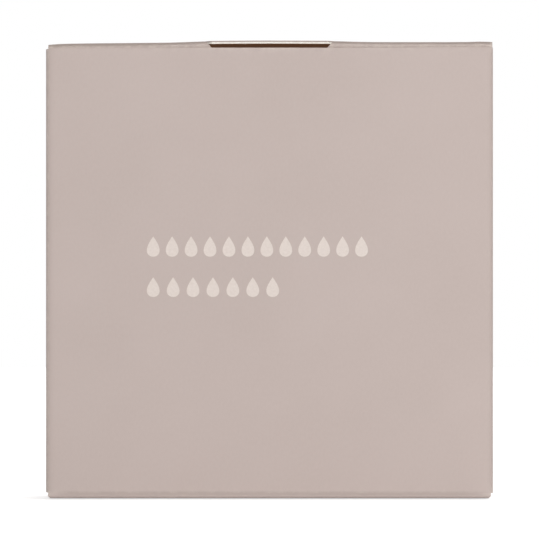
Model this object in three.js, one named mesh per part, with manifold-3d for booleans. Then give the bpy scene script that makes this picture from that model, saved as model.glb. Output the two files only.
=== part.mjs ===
// A small folding carton that holds a folded shower cap. Millimetres, +Z up.
// The front panel faces -Y, and the origin lies under the middle of the base.
// The lid hangs on the back panel and the base on the front panel, so one closure is built
// once and turned half way round the X axis for the other end.

import * as THREE from 'three';
import { mergeVertices } from 'three/addons/utils/BufferGeometryUtils.js';
import Module from 'manifold-3d';

// Carton, outside sizes
const cartonWidth = 70;
const cartonDepth = 18;
const cartonHeight = 71.6;
const boardThickness = 0.4;

// Creases, by the radius of the board's inner face
const sideCreaseInner = 0.3;
const endCreaseInner = 0.5;
const creaseGap = 0.15; // a panel's edge to the crease that turns beside it
const arcSegments = 3;

// Lid and base
const closureInset = 0.25; // the closure's end to the carton's side
const tuckLength = 10; // the closure's outer face to the tuck flap's tip
const tuckClearance = 0.3; // the tuck flap to the panel that it slides behind
const tuckSideClearance = 0.6; // the tuck flap's end to the side panel
const tuckCornerRadius = 6;
const tuckLean = THREE.MathUtils.degToRad(14); // inwards from square

// Lip at the lid's front edge, for a finger nail, and the slot that it leaves in the crease
const lipWidth = 20.1;
const lipSetback = 0.2; // the lip's tip behind the front face
const lipSlope = 0.7; // run across for each step forwards
const lipSlotDepth = 1.3; // the slot's lower edge under the lid's outer face

// Dust flaps
const dustReach = 16; // the side's outer face to the flap's tip
const dustGap = 0.2; // the flap under the closure
const dustHingeSetback = 2; // the closure's hinge face to the flap's root
const dustTuckSetback = 2.5; // the tuck face to the flap's root
const dustHingeTaper = THREE.MathUtils.degToRad(16);
const dustTuckTaper = THREE.MathUtils.degToRad(6);
const dustCornerRadius = 2.5;
const shoulderDrop = 0.35; // the side panel's shoulders under the crease's lower end

// Glued seam at the rear right corner
const glueFlapReach = 9;
const glueFlapTaper = 4;
const glueFlapInset = 3;
const glueThickness = 0.1;
const glueWidth = 4;
const glueEndInset = 6;
const seamSetback = 0.1; // the side panel's free edge in front of the back face

// Folded cap
const capWidth = 58;
const capRestGap = 0.3; // the cap above the dust flaps that carry it
const filmLeaf = 0.3; // one leaf of the fold is several films pressed together
const filmLeafCount = 6;
const filmPitch = 1.5;
const filmHeight = 51;
const hemLength = 56;
const hemRuns = 3; // the flattened hem lies to and fro in this many runs
const hemPitch = 1.5; // from strand to strand, with two strands in a run
const hemHeight = 6;
const hemWall = 0.15;
const hemClearance = 0.3; // the hem above the film, and the elastic under the hem's roof
const elasticClearance = 0.15; // the elastic to the hem's walls
const elasticWidth = 0.5;
const elasticHeight = 3.6;

// Colours and finish
const boardLook = { color: 0xc4b5af, roughness: 0.75, metalness: 0 };
const glueLook = { color: 0xe9e2cf, roughness: 0.5, metalness: 0 };
const filmLook = { color: 0xeef1f2, roughness: 0.35, metalness: 0 };
const elasticLook = { color: 0xf4f2ec, roughness: 0.8, metalness: 0 };

// Places that follow from the sizes
const sideCrease = sideCreaseInner + boardThickness;
const endCrease = endCreaseInner + boardThickness;
const halfWidth = cartonWidth / 2;
const halfDepth = cartonDepth / 2;
const closureHalf = halfWidth - closureInset;
const tuckFace = halfDepth - boardThickness - tuckClearance;
const dustTop = cartonHeight - boardThickness - dustGap;
// The line about which a creased board turns without stretching, in from both outer faces
const creaseAxis = endCrease - (Math.PI / 4) * (endCrease - boardThickness / 2);
const cutMargin = 1; // how far a cutter runs past what it cuts

const axisX = new THREE.Vector3(1, 0, 0);
const axisY = new THREE.Vector3(0, 1, 0);
const axisZ = new THREE.Vector3(0, 0, 1);

const wasm = await Module();
wasm.setup();

function toSolid(geometry) {
  const bare = geometry.clone();
  bare.deleteAttribute('normal');
  bare.deleteAttribute('uv');
  const merged = mergeVertices(bare, 1e-5);
  return new wasm.Manifold(new wasm.Mesh({
    numProp: 3,
    vertProperties: new Float32Array(merged.attributes.position.array),
    triVerts: new Uint32Array(merged.index.array),
  }));
}

function toGeometry(solid) {
  const mesh = solid.getMesh();
  const geometry = new THREE.BufferGeometry();
  geometry.setAttribute('position', new THREE.BufferAttribute(mesh.vertProperties, 3));
  geometry.setIndex(new THREE.BufferAttribute(mesh.triVerts, 1));
  geometry.computeVertexNormals();
  return geometry;
}

// A shape pushed along u x v, with its own axes laid on u and v
function extrude(shape, depth, u, v) {
  const options = { depth, bevelEnabled: false, steps: 1, curveSegments: arcSegments };
  const geometry = new THREE.ExtrudeGeometry(shape, options);
  return geometry.applyMatrix4(new THREE.Matrix4().makeBasis(u, v, u.clone().cross(v)));
}

function outline(points) {
  return new THREE.Shape(points.map(([a, b]) => new THREE.Vector2(a, b)));
}

// An outline whose marked corners are rounded: each point is [a, b] or [a, b, radius]
function roundedOutline(points) {
  const shape = new THREE.Shape();
  points.forEach(([a, b, radius = 0], i) => {
    const corner = new THREE.Vector2(a, b);
    const before = points[(i + points.length - 1) % points.length];
    const after = points[(i + 1) % points.length];
    const toBefore = new THREE.Vector2(before[0], before[1]).sub(corner).normalize();
    const toAfter = new THREE.Vector2(after[0], after[1]).sub(corner).normalize();
    const halfAngle = Math.acos(toBefore.dot(toAfter)) / 2;
    const leave = radius / Math.tan(halfAngle);
    const start = corner.clone().addScaledVector(toBefore, leave);
    const end = corner.clone().addScaledVector(toAfter, leave);
    if (i === 0) {
      shape.moveTo(start.x, start.y);
    } else {
      shape.lineTo(start.x, start.y);
    }
    if (radius > 0) {
      shape.quadraticCurveTo(corner.x, corner.y, end.x, end.y);
    }
  });
  shape.closePath();
  return shape;
}

// Section of a board from one u to another: outer face on v = 0, inner face on -v.
// An end with a crease radius turns a quarter circle inwards, and a null end is a cut edge.
function boardSection(from, to, creaseAtFrom, creaseAtTo) {
  const shape = new THREE.Shape();
  const quarter = Math.PI / 2;
  if (creaseAtFrom === null) {
    shape.moveTo(from, 0);
  } else {
    const outer = creaseAtFrom + boardThickness;
    shape.absarc(from + outer, -outer, outer, Math.PI, quarter, true);
  }
  if (creaseAtTo === null) {
    shape.lineTo(to, 0);
    shape.lineTo(to, -boardThickness);
  } else {
    const outer = creaseAtTo + boardThickness;
    shape.absarc(to - outer, -outer, outer, quarter, 0, true);
    shape.absarc(to - outer, -outer, creaseAtTo, 0, quarter, false);
  }
  if (creaseAtFrom === null) {
    shape.lineTo(from, -boardThickness);
  } else {
    const outer = creaseAtFrom + boardThickness;
    shape.absarc(from + outer, -outer, creaseAtFrom, quarter, Math.PI, false);
  }
  shape.closePath();
  return shape;
}

function addPiece(parent, name, geometry, look) {
  const mesh = new THREE.Mesh(geometry, new THREE.MeshStandardMaterial(look));
  mesh.name = name;
  parent.add(mesh);
  return mesh;
}

// Front panel with the creases at both sides: hinged to the base below, cut free above
function addFrontPanel(carton) {
  const bottom = endCrease + creaseGap;
  const top = cartonHeight - endCrease;
  const section = boardSection(-halfWidth, halfWidth, sideCreaseInner, sideCreaseInner);
  const geometry = extrude(section, top - bottom, axisX, axisY.clone().negate());
  addPiece(carton, 'front_panel', geometry, boardLook).position.set(0, -halfDepth, top);
}

// The glue flap's outer face, a film of glue inside the right side panel
const glueFlapFace = halfWidth - boardThickness - glueThickness;

// Back panel with the left crease: hinged to the lid above, cut free below
function addBackPanel(carton) {
  const bottom = endCrease;
  const top = cartonHeight - endCrease - creaseGap;
  const section = boardSection(-halfWidth, glueFlapFace - sideCrease, sideCreaseInner, null);
  const geometry = extrude(section, top - bottom, axisX, axisY);
  addPiece(carton, 'back_panel', geometry, boardLook).position.set(0, halfDepth, bottom);
}

// Glue flap, creased on the back panel's right edge, with its ends cut at a slant
function addGlueFlap(carton) {
  const front = halfDepth - glueFlapReach;
  const low = endCrease + glueFlapInset;
  const high = cartonHeight - endCrease - glueFlapInset;
  const section = boardSection(front, halfDepth, null, sideCreaseInner);
  const strip = extrude(section, high - low, axisY, axisX);
  strip.translate(glueFlapFace, 0, high);
  const cut = outline([
    [front, low + glueFlapTaper],
    [halfDepth - sideCrease, low],
    [halfDepth + cutMargin, low],
    [halfDepth + cutMargin, high],
    [halfDepth - sideCrease, high],
    [front, high - glueFlapTaper],
  ]);
  const prism = extrude(cut, cartonWidth, axisY, axisZ);
  addPiece(carton, 'glue_flap', toGeometry(toSolid(strip).intersect(toSolid(prism))), boardLook);
}

// Bead of glue between the flap and the right side panel
function addSeamGlue(carton) {
  const long = cartonHeight - 2 * (endCrease + glueFlapInset + glueEndInset);
  const middle = halfDepth - (glueFlapReach + sideCrease) / 2;
  const bead = addPiece(
    carton, 'seam_glue', new THREE.BoxGeometry(glueThickness, glueWidth, long), glueLook);
  bead.position.set(glueFlapFace + glueThickness / 2, middle, cartonHeight / 2);
}

// Side panel, with a dip at each end where a dust flap's crease lies
function addSidePanel(carton, name, side, rear) {
  const front = -halfDepth + sideCrease;
  const shoulder = cartonHeight - endCrease - shoulderDrop;
  const dip = dustTop - endCrease - creaseGap;
  const topFront = -halfDepth + dustTuckSetback;
  const topRear = halfDepth - dustHingeSetback;
  const shape = outline([
    [front, cartonHeight - shoulder],
    [-topRear, cartonHeight - shoulder],
    [-topRear, cartonHeight - dip],
    [-topFront, cartonHeight - dip],
    [-topFront, cartonHeight - shoulder],
    [rear, cartonHeight - shoulder],
    [rear, shoulder],
    [topRear, shoulder],
    [topRear, dip],
    [topFront, dip],
    [topFront, shoulder],
    [front, shoulder],
  ]);
  const geometry = extrude(shape, boardThickness, axisY, axisZ);
  const inner = side > 0 ? halfWidth - boardThickness : -halfWidth;
  addPiece(carton, name, geometry, boardLook).position.x = inner;
}

// The lid's lip: cut out of the front crease, it stays flat when the tuck flap folds down
function withLip(board) {
  const creaseStart = -tuckFace + endCrease;
  const half = lipWidth / 2;
  const low = endCrease + cutMargin;
  const slot = outline([
    [-half - lipSlope * cutMargin, cutMargin],
    [-half + lipSlope * low, -low],
    [half - lipSlope * low, -low],
    [half + lipSlope * cutMargin, cutMargin],
  ]);
  const cutter = extrude(slot, cartonDepth, axisX, axisZ);
  cutter.translate(0, creaseStart, cartonHeight);
  const tip = -halfDepth + lipSetback;
  const tipHalf = half - lipSlope * (creaseStart - tip);
  const lipShape = outline([
    [-half, creaseStart + cutMargin],
    [-half, creaseStart],
    [-tipHalf, tip],
    [tipHalf, tip],
    [half, creaseStart],
    [half, creaseStart + cutMargin],
  ]);
  const lip = extrude(lipShape, boardThickness, axisX, axisY);
  lip.translate(0, 0, cartonHeight - boardThickness);
  return toGeometry(toSolid(board).subtract(toSolid(cutter)).add(toSolid(lip)));
}

// Lid or base: a panel with its hinge crease at the back and the tuck crease at the front
function addClosurePanel(closure, name, hasLip) {
  const section = boardSection(-tuckFace, halfDepth, endCreaseInner, endCreaseInner);
  const board = extrude(section, 2 * closureHalf, axisY, axisZ);
  board.translate(-closureHalf, 0, cartonHeight);
  addPiece(closure, name, hasLip ? withLip(board) : board, boardLook);
}

// Tuck flap, leaning inwards about its crease, with the lip's slot running into its root
function addTuckFlap(closure, name, hasLip) {
  const half = halfWidth - boardThickness - tuckSideClearance;
  const root = creaseAxis - endCrease - creaseGap;
  const tip = creaseAxis - tuckLength;
  const slotFloor = creaseAxis - lipSlotDepth;
  const slotTop = lipWidth / 2 - lipSlope * (creaseAxis - root);
  const slotBottom = lipWidth / 2 - lipSlope * lipSlotDepth;
  const slot = [
    [slotTop, root],
    [slotBottom, slotFloor],
    [-slotBottom, slotFloor],
    [-slotTop, root],
  ];
  const shape = roundedOutline([
    [-half, root],
    [-half, tip, tuckCornerRadius],
    [half, tip, tuckCornerRadius],
    [half, root],
    ...(hasLip ? slot : []),
  ]);
  const crease = new THREE.Group();
  crease.position.set(0, -tuckFace + creaseAxis, cartonHeight - creaseAxis);
  crease.rotation.x = tuckLean;
  closure.add(crease);
  const geometry = extrude(shape, boardThickness, axisX, axisZ);
  addPiece(crease, name, geometry, boardLook).position.y = boardThickness - creaseAxis;
}

// Dust flap of one side (-1 left, 1 right), with its crease, tapered towards its tip
function addDustFlap(closure, name, side) {
  const tuckEdge = -halfDepth + dustTuckSetback;
  const hingeEdge = halfDepth - dustHingeSetback;
  const tip = halfWidth - dustReach;
  const root = halfWidth - endCrease;
  const u = axisX.clone().multiplyScalar(side);
  const section = boardSection(tip, halfWidth, null, endCreaseInner);
  const strip = extrude(section, hingeEdge - tuckEdge, u, axisZ);
  strip.translate(0, side > 0 ? hingeEdge : tuckEdge, dustTop);
  const shape = roundedOutline([
    [halfWidth + cutMargin, tuckEdge],
    [halfWidth + cutMargin, hingeEdge],
    [root, hingeEdge],
    [tip, hingeEdge - Math.tan(dustHingeTaper) * (root - tip), dustCornerRadius],
    [tip, tuckEdge + Math.tan(dustTuckTaper) * (root - tip), dustCornerRadius],
    [root, tuckEdge],
  ]);
  const prism = extrude(shape, cartonHeight, u, axisY);
  prism.translate(0, 0, cartonHeight - side * cartonHeight / 2);
  addPiece(closure, name, toGeometry(toSolid(strip).intersect(toSolid(prism))), boardLook);
}

function addClosure(carton, prefix, hasLip) {
  const closure = new THREE.Group();
  addClosurePanel(closure, `${prefix}_panel`, hasLip);
  addTuckFlap(closure, `${prefix}_tuck_flap`, hasLip);
  addDustFlap(closure, `${prefix}_dust_flap_left`, -1);
  addDustFlap(closure, `${prefix}_dust_flap_right`, 1);
  carton.add(closure);
  return closure;
}

// The cap's film, folded to and fro into a packet of upright leaves
function addCapFilm(cap) {
  const shape = new THREE.Shape();
  const bend = filmPitch / 2;
  const outer = bend + filmLeaf / 2;
  const inner = bend - filmLeaf / 2;
  const low = outer;
  const high = filmHeight - outer;
  const across = (leaf) => (leaf - (filmLeafCount - 1) / 2) * filmPitch;
  shape.moveTo(across(0) - filmLeaf / 2, 0);
  for (let leaf = 0; leaf < filmLeafCount - 1; leaf += 1) {
    const rising = leaf % 2 === 0;
    const middle = across(leaf) + bend;
    const radius = rising ? outer : inner;
    shape.absarc(middle, rising ? high : low, radius, Math.PI, 0, rising);
  }
  const lastRising = filmLeafCount % 2 === 1;
  const end = across(filmLeafCount - 1);
  const endHeight = lastRising ? filmHeight : 0;
  const endSide = lastRising ? -filmLeaf / 2 : filmLeaf / 2;
  shape.lineTo(end + endSide, endHeight);
  shape.lineTo(end - endSide, endHeight);
  for (let leaf = filmLeafCount - 2; leaf >= 0; leaf -= 1) {
    const rising = leaf % 2 === 0;
    const middle = across(leaf) + bend;
    const radius = rising ? inner : outer;
    shape.absarc(middle, rising ? high : low, radius, 0, Math.PI, !rising);
  }
  shape.lineTo(across(0) + filmLeaf / 2, 0);
  shape.closePath();
  const geometry = extrude(shape, capWidth, axisY, axisZ);
  addPiece(cap, 'cap_film', geometry, filmLook).position.x = -capWidth / 2;
}

// Gathered hem: a channel round the cap's mouth, open below
const hemBand = 2 * (hemWall + elasticClearance) + elasticWidth;

// Outline, seen from above, of a ribbon that runs to and fro, with round turns and ends
function foldedRibbon(path, half) {
  const quarter = Math.PI / 2;
  const reach = hemLength / 2 - 1.5 * hemPitch - hemBand / 2;
  const end = (run) => (run % 2 === 0 ? reach : -reach);
  const middle = (run) => (2 * run + 1 - hemRuns) * hemPitch;
  const last = hemRuns - 1;
  for (let run = 0; run < last; run += 1) {
    const side = Math.sign(end(run));
    const radius = hemPitch + side * half;
    path.absarc(end(run), middle(run) + hemPitch, radius, -quarter, side * 2 * quarter - quarter,
      side < 0);
  }
  const endSide = Math.sign(end(last));
  path.absarc(end(last), middle(last), half, -endSide * quarter, (2 - endSide) * quarter, false);
  for (let run = last - 1; run >= 0; run -= 1) {
    const side = Math.sign(end(run));
    const radius = hemPitch - side * half;
    path.absarc(end(run), middle(run) + hemPitch, radius, quarter, quarter - side * 2 * quarter,
      side > 0);
  }
  path.absarc(-reach, middle(0), half, quarter, 3 * quarter, false);
  path.closePath();
  return path;
}

// A band along the mouth's loop, which is pressed flat and folded
function foldedLoop(band) {
  const loop = foldedRibbon(new THREE.Shape(), (hemPitch + band) / 2);
  loop.holes.push(foldedRibbon(new THREE.Path(), (hemPitch - band) / 2));
  return loop;
}

function addHem(cap) {
  const walls = extrude(foldedLoop(hemBand), hemHeight, axisX, axisY);
  const grooveHeight = hemHeight - hemWall + cutMargin;
  const groove = extrude(foldedLoop(hemBand - 2 * hemWall), grooveHeight, axisX, axisY);
  groove.translate(0, 0, -cutMargin);
  const channel = toGeometry(toSolid(walls).subtract(toSolid(groove)));
  addPiece(cap, 'cap_hem', channel, filmLook).position.z = filmHeight + hemClearance;
}

// Elastic band in the hem
function addElastic(cap) {
  const loop = extrude(foldedLoop(elasticWidth), elasticHeight, axisX, axisY);
  const band = addPiece(cap, 'cap_elastic', loop, elasticLook);
  const roof = filmHeight + hemClearance + hemHeight - hemWall;
  band.position.z = roof - hemClearance - elasticHeight;
}

const carton = new THREE.Group();
addFrontPanel(carton);
addBackPanel(carton);
addGlueFlap(carton);
addSeamGlue(carton);
addSidePanel(carton, 'left_side_panel', -1, halfDepth - sideCrease);
addSidePanel(carton, 'right_side_panel', 1, halfDepth - seamSetback);
addClosure(carton, 'lid', true);
const base = addClosure(carton, 'base', false);
base.rotation.x = Math.PI;
base.position.z = cartonHeight;

const cap = new THREE.Group();
addCapFilm(cap);
addHem(cap);
addElastic(cap);
cap.position.z = cartonHeight - dustTop + boardThickness + capRestGap;
carton.add(cap);

export default carton;
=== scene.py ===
# %% [markdown]
# # A tuck carton with a folded shower cap in it
# The carton is a single sheet of printed board, cut out, creased, folded and glued. The cap in it
# is a disc of thin film with an elastic hem. The CAD frame gives the sizes and the bodies that
# move, and this file dresses them. The board could be a handful of flat plates, but then every
# crease would be a gap. So it becomes a skin that really bends at its creases, with a printed
# outside, a raw inside and pale cut edges.

# %% Load the frame
import math

import bmesh
import bpy
import numpy as np
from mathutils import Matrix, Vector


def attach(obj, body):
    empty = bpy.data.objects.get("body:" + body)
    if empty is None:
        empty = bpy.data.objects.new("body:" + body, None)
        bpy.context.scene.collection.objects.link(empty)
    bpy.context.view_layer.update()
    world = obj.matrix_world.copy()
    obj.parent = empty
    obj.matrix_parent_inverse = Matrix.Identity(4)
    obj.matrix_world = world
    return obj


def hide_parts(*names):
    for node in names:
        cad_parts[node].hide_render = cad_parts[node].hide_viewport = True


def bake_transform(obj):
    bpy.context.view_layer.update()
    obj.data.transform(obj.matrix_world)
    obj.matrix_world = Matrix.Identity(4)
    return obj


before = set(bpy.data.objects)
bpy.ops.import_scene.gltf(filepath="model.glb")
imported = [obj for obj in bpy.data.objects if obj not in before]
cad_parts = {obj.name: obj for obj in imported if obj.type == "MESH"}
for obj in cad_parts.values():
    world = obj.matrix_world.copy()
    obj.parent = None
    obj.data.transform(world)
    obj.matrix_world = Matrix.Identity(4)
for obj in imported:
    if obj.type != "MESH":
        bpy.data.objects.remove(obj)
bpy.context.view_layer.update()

# %% [markdown]
# ## Sizes
# A carton is drawn in millimetres, so the shapes below are too, and they turn into Blender's
# metres only when a mesh is made. Sharp folds would be the easiest creases to draw. These are
# small rolls instead, because board can't bend on a line: its outer face turns on a radius of
# about twice its thickness, and that is where the light changes.

# %% The carton's sizes
MM = 0.001
HALF_WIDTH, HALF_DEPTH, HEIGHT = 35.0, 9.0, 71.6
BOARD = 0.4
SIDE_ROLL = 0.7
END_ROLL = 0.9
print(f"carton {2 * HALF_WIDTH:g} x {2 * HALF_DEPTH:g} x {HEIGHT:g} mm, board {BOARD:g} mm")

# %% [markdown]
# ## Finishes
# Carton board shows three faces. Outside is a matt print, even from a step away and faintly
# clouded close up. Inside is bare fibre, and a cut edge shows the pale core. Pictures of board
# could be laid on as image textures, but they blur when the camera comes close. Here each finish
# is mixed from noise. The noise lies on the board's own flat drawing, through a UV map in units
# of 100 mm, so that the grain doesn't swim when a flap turns.

# %% Helpers for materials
def new_material(name):
    """A material with nodes, its node tree and its shader."""
    material = bpy.data.materials.new(name)
    material.use_nodes = True
    tree = material.node_tree
    return material, tree, tree.nodes["Principled BSDF"]


def flat_board(tree, stretch=(1.0, 1.0, 1.0)):
    """Places on the flat board, from the UV map, stretched along the fibres where wanted."""
    uv = tree.nodes.new("ShaderNodeUVMap")
    uv.uv_map = "flat_board"
    mapping = tree.nodes.new("ShaderNodeMapping")
    mapping.inputs["Scale"].default_value = stretch
    tree.links.new(uv.outputs["UV"], mapping.inputs["Vector"])
    return mapping.outputs["Vector"]


print("helpers for materials are ready")

# %% Helpers for patterns
def noise(tree, vector, scale, detail=3.0, rough=0.55):
    """Soft random spots between 0 and 1."""
    node = tree.nodes.new("ShaderNodeTexNoise")
    node.inputs["Scale"].default_value = scale
    node.inputs["Detail"].default_value = detail
    node.inputs["Roughness"].default_value = rough
    tree.links.new(vector, node.inputs["Vector"])
    return node.outputs["Fac"]


def point_value(tree, label):
    """A value that the mesh carries on its points."""
    node = tree.nodes.new("ShaderNodeAttribute")
    node.attribute_name = label
    return node.outputs["Fac"]


def remap(tree, value, old=(0.0, 1.0), new=(0.0, 1.0)):
    """A value that runs over the old range, moved to the new range and held inside it."""
    node = tree.nodes.new("ShaderNodeMapRange")
    for word, number in zip(("From Min", "From Max", "To Min", "To Max"), (*old, *new)):
        node.inputs[word].default_value = number
    tree.links.new(value, node.inputs["Value"])
    return node.outputs["Result"]


print("helpers for patterns are ready")

# %% Helpers for colour and relief
def multiply(tree, value, factor):
    """A value times a number, or times another value."""
    node = tree.nodes.new("ShaderNodeMath")
    node.operation = "MULTIPLY"
    tree.links.new(value, node.inputs[0])
    if isinstance(factor, float):
        node.inputs[1].default_value = factor
    else:
        tree.links.new(factor, node.inputs[1])
    return node.outputs[0]


def mix_colour(tree, factor, first, second):
    """Two colours, or sockets that carry a colour, mixed by a factor."""
    node = tree.nodes.new("ShaderNodeMix")
    node.data_type = "RGBA"
    tree.links.new(factor, node.inputs["Factor"])
    for socket, value in ((node.inputs[6], first), (node.inputs[7], second)):
        if isinstance(value, tuple):
            socket.default_value = (*value, 1.0)
        else:
            tree.links.new(value, socket)
    return node.outputs[2]


def set_colour(tree, shader, factor, first, second):
    """The shader's colour, mixed from two by a factor."""
    tree.links.new(mix_colour(tree, factor, first, second), shader.inputs["Base Color"])


def bump(tree, shader, height, strength, distance):
    """Relief that only the light sees, too fine to be modelled."""
    node = tree.nodes.new("ShaderNodeBump")
    node.inputs["Strength"].default_value = strength
    node.inputs["Distance"].default_value = distance
    tree.links.new(height, node.inputs["Height"])
    tree.links.new(node.outputs["Normal"], shader.inputs["Normal"])


print("helpers for colour and relief are ready")

# %% [markdown]
# ### The printed outside
# The print is a warm greige. One flat colour would look like plastic, so four layers make it:
# broad clouds where the ink lies a little thicker, a fine speckle where it sinks between the
# fibres, painted shade as a darker band on the creases and rolls, and pale places: rubbed spots
# where a bit of pale core shines through, and painted light that brightens the left creases and
# the tuck flap's root. Clouds and speckle are noise. The painted shade, and the wear with its
# painted light, belong to places on the carton, so they are values that each mesh carries on its
# points.

# %% Printed board
FULL_INK, THIN_INK = (0.540, 0.449, 0.415), (0.567, 0.474, 0.441)
SPECKLED_INK = (0.625, 0.535, 0.500)
# The darker ink below is painted shade, laid on the creases and rolls.
SHADED_INK = (0.405, 0.330, 0.295)
# The pale ink below is the rubbed pale core, and also painted light on the left creases and the tuck
# flap's root.
RUBBED_AND_LIT_INK = (0.74, 0.66, 0.59)


def make_printed_board():
    material, tree, shader = new_material("printed_board")
    place = flat_board(tree)
    clouds = noise(tree, place, scale=5.0, detail=2.0)
    speckle = noise(tree, flat_board(tree, (1.0, 0.55, 1.0)), scale=260.0, detail=4.0, rough=0.65)
    rub_and_light_spots = noise(tree, place, scale=70.0, detail=5.0, rough=0.7)
    ink = mix_colour(tree, remap(tree, clouds, (0.25, 0.75)), FULL_INK, THIN_INK)
    grains = multiply(tree, remap(tree, speckle, (0.25, 0.85)), 0.35)
    ink = mix_colour(tree, grains, ink, SPECKLED_INK)
    # Painted shade: the ink turns darker where the mesh's crease shade value says so.
    ink = mix_colour(tree, point_value(tree, "crease_shade"), ink, SHADED_INK)
    # Rubbed pale core in spots, and painted light where the mesh's values brighten the board.
    rubbed_and_lit = multiply(tree, point_value(tree, "wear_and_light"), remap(tree, rub_and_light_spots, (0.42, 0.75)))
    set_colour(tree, shader, rubbed_and_lit, ink, RUBBED_AND_LIT_INK)
    tree.links.new(remap(tree, speckle, new=(0.62, 0.78)), shader.inputs["Roughness"])
    shader.inputs["Specular IOR Level"].default_value = 0.3
    bump(tree, shader, speckle, strength=0.25, distance=0.00002)
    return material


printed_board = make_printed_board()
print("made", printed_board.name)

# %% [markdown]
# ### The raw inside and the cut edges
# The inside carries no print: it is the warm tan of unbleached fibre, and long thin noise gives
# the fibres. Thin board lets some light through, so the inside of a shut carton is a deep brown
# and not black. A translucent shader could do that, but it needs many samples and its effect is
# lost when the model is exported. A faint warm emission stands for that light instead. The cut
# edges are pale, with fine layers.

# %% Raw board
def make_raw_board():
    material, tree, shader = new_material("raw_board")
    fibres = noise(tree, flat_board(tree, (1.0, 0.12, 1.0)), scale=420.0, detail=5.0, rough=0.7)
    clouds = noise(tree, flat_board(tree), scale=14.0)
    tan = mix_colour(tree, remap(tree, clouds, (0.3, 0.7)), (0.46, 0.285, 0.175),
                     (0.53, 0.340, 0.220))
    set_colour(tree, shader, remap(tree, fibres, (0.5, 0.75)), tan, (0.66, 0.47, 0.33))
    shader.inputs["Roughness"].default_value = 0.92
    shader.inputs["Specular IOR Level"].default_value = 0.15
    shader.inputs["Emission Color"].default_value = (0.60, 0.35, 0.20, 1)
    shader.inputs["Emission Strength"].default_value = 0.07
    bump(tree, shader, fibres, strength=0.4, distance=0.00003)
    return material


raw_board = make_raw_board()
print("made", raw_board.name)

# %% Cut edge
def make_cut_edge():
    material, tree, shader = new_material("cut_edge")
    layers = noise(tree, flat_board(tree), scale=190.0, detail=4.0, rough=0.7)
    set_colour(tree, shader, remap(tree, layers, (0.3, 0.7)), (0.86, 0.80, 0.71),
               (0.95, 0.91, 0.85))
    shader.inputs["Roughness"].default_value = 0.9
    shader.inputs["Specular IOR Level"].default_value = 0.15
    bump(tree, shader, layers, strength=0.3, distance=0.00003)
    return material


cut_edge = make_cut_edge()
print("made", cut_edge.name)

# %% [markdown]
# ## Making a piece of board
# Every flap and panel is the same kind of thing: two grids of points, the printed face and the
# raw face 0.4 mm behind it, closed by a rim. A Solidify modifier could add the thickness, but
# writing both faces keeps the cut edges square, gives the rim a finish of its own and keeps the
# mesh closed, which a bending piece needs.

# %% Helpers for meshes
def grid_faces(rows, columns):
    """The four corners of each cell in a grid of points."""
    index = np.arange(rows * columns).reshape(rows, columns)
    cells = [index[:-1, :-1], index[:-1, 1:], index[1:, 1:], index[1:, :-1]]
    return np.stack(cells, -1).reshape(-1, 4)


def lengths_along(places):
    """How far it is from the first of a row of places to each of them."""
    steps = np.linalg.norm(np.diff(places, axis=0), axis=1)
    return np.concatenate([[0], np.cumsum(steps)])


def new_piece(name, points, faces, flat, *materials):
    """An object from points in mm. flat is the place of each point on the flat board in mm,
    which goes into the UV map."""
    mesh = bpy.data.meshes.new(name)
    mesh.from_pydata((points * MM).tolist(), [], faces)
    for material in materials:
        mesh.materials.append(material)
    corners = np.zeros(len(mesh.loops), np.int32)
    mesh.loops.foreach_get("vertex_index", corners)
    layer = mesh.uv_layers.new(name="flat_board")
    layer.data.foreach_set("uv", (flat[corners] / 100).astype(np.float32).ravel())
    piece = bpy.data.objects.new(name, mesh)
    bpy.context.scene.collection.objects.link(piece)
    print(f"{name}: {len(mesh.vertices)} points, {len(mesh.polygons)} faces")
    return piece


def face_outward(mesh):
    """Turns the faces of a closed mesh so that their fronts look out."""
    work = bmesh.new()
    work.from_mesh(mesh)
    bmesh.ops.recalc_face_normals(work, faces=work.faces)
    work.to_mesh(mesh)
    work.free()


print("helpers for meshes are ready")

# %% Two faces and a rim
SHARP_TURN = math.radians(40)


def board_piece(name, outer, inner, flat, wear_and_light, crease_shade):
    """A closed piece of board. outer and inner are rows x columns x 3 in mm. wear_and_light says
    how rubbed, and how brightened by painted light, each point is, and crease_shade how far it is
    darkened by painted shade."""
    rows, columns = outer.shape[:2]
    count = rows * columns
    face = grid_faces(rows, columns)
    index = np.arange(count).reshape(rows, columns)
    ring = np.concatenate([index[0], index[1:, -1], index[-1, -2::-1], index[-2:0:-1, 0]])
    following = np.roll(ring, -1)
    rim = np.stack([following, ring, ring + count, following + count], -1)
    piece = new_piece(name, np.concatenate([outer.reshape(-1, 3), inner.reshape(-1, 3)]),
                      np.concatenate([face, face[:, ::-1] + count, rim]).tolist(),
                      np.tile(flat.reshape(-1, 2), (2, 1)), printed_board, raw_board, cut_edge)
    mesh = piece.data
    finishes = np.repeat([0, 1, 2], [len(face), len(face), len(rim)])
    mesh.polygons.foreach_set("material_index", finishes.astype(np.int32))
    for label, values in (("wear_and_light", wear_and_light), ("crease_shade", crease_shade)):
        values = np.clip(values + np.zeros((rows, columns)), 0, 1)
        attribute = mesh.attributes.new(label, "FLOAT", "POINT")
        attribute.data.foreach_set("value", np.tile(values.ravel(), 2).astype(np.float32))
    face_outward(mesh)
    mesh.shade_smooth()
    mesh.set_sharp_from_angle(angle=SHARP_TURN)
    return piece


print("board has its own helper, with edges sharp from", round(math.degrees(SHARP_TURN)), "degrees")

# %% [markdown]
# ## The sleeve
# Front, sides and back are one strip of board, rolled at its creases and glued into a tube. A
# bevelled box would look like it from outside, but it has no inside, no cut ends and no seam. So
# the strip's outline is walked round the plan view once: right side, front, left side, back and
# the glue flap that tucks in behind the right side. At each step the walk also notes how far the
# board reaches down and up there, because the side panels are cut lower for their dust flaps and
# the glue flap has slanted ends.

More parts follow.
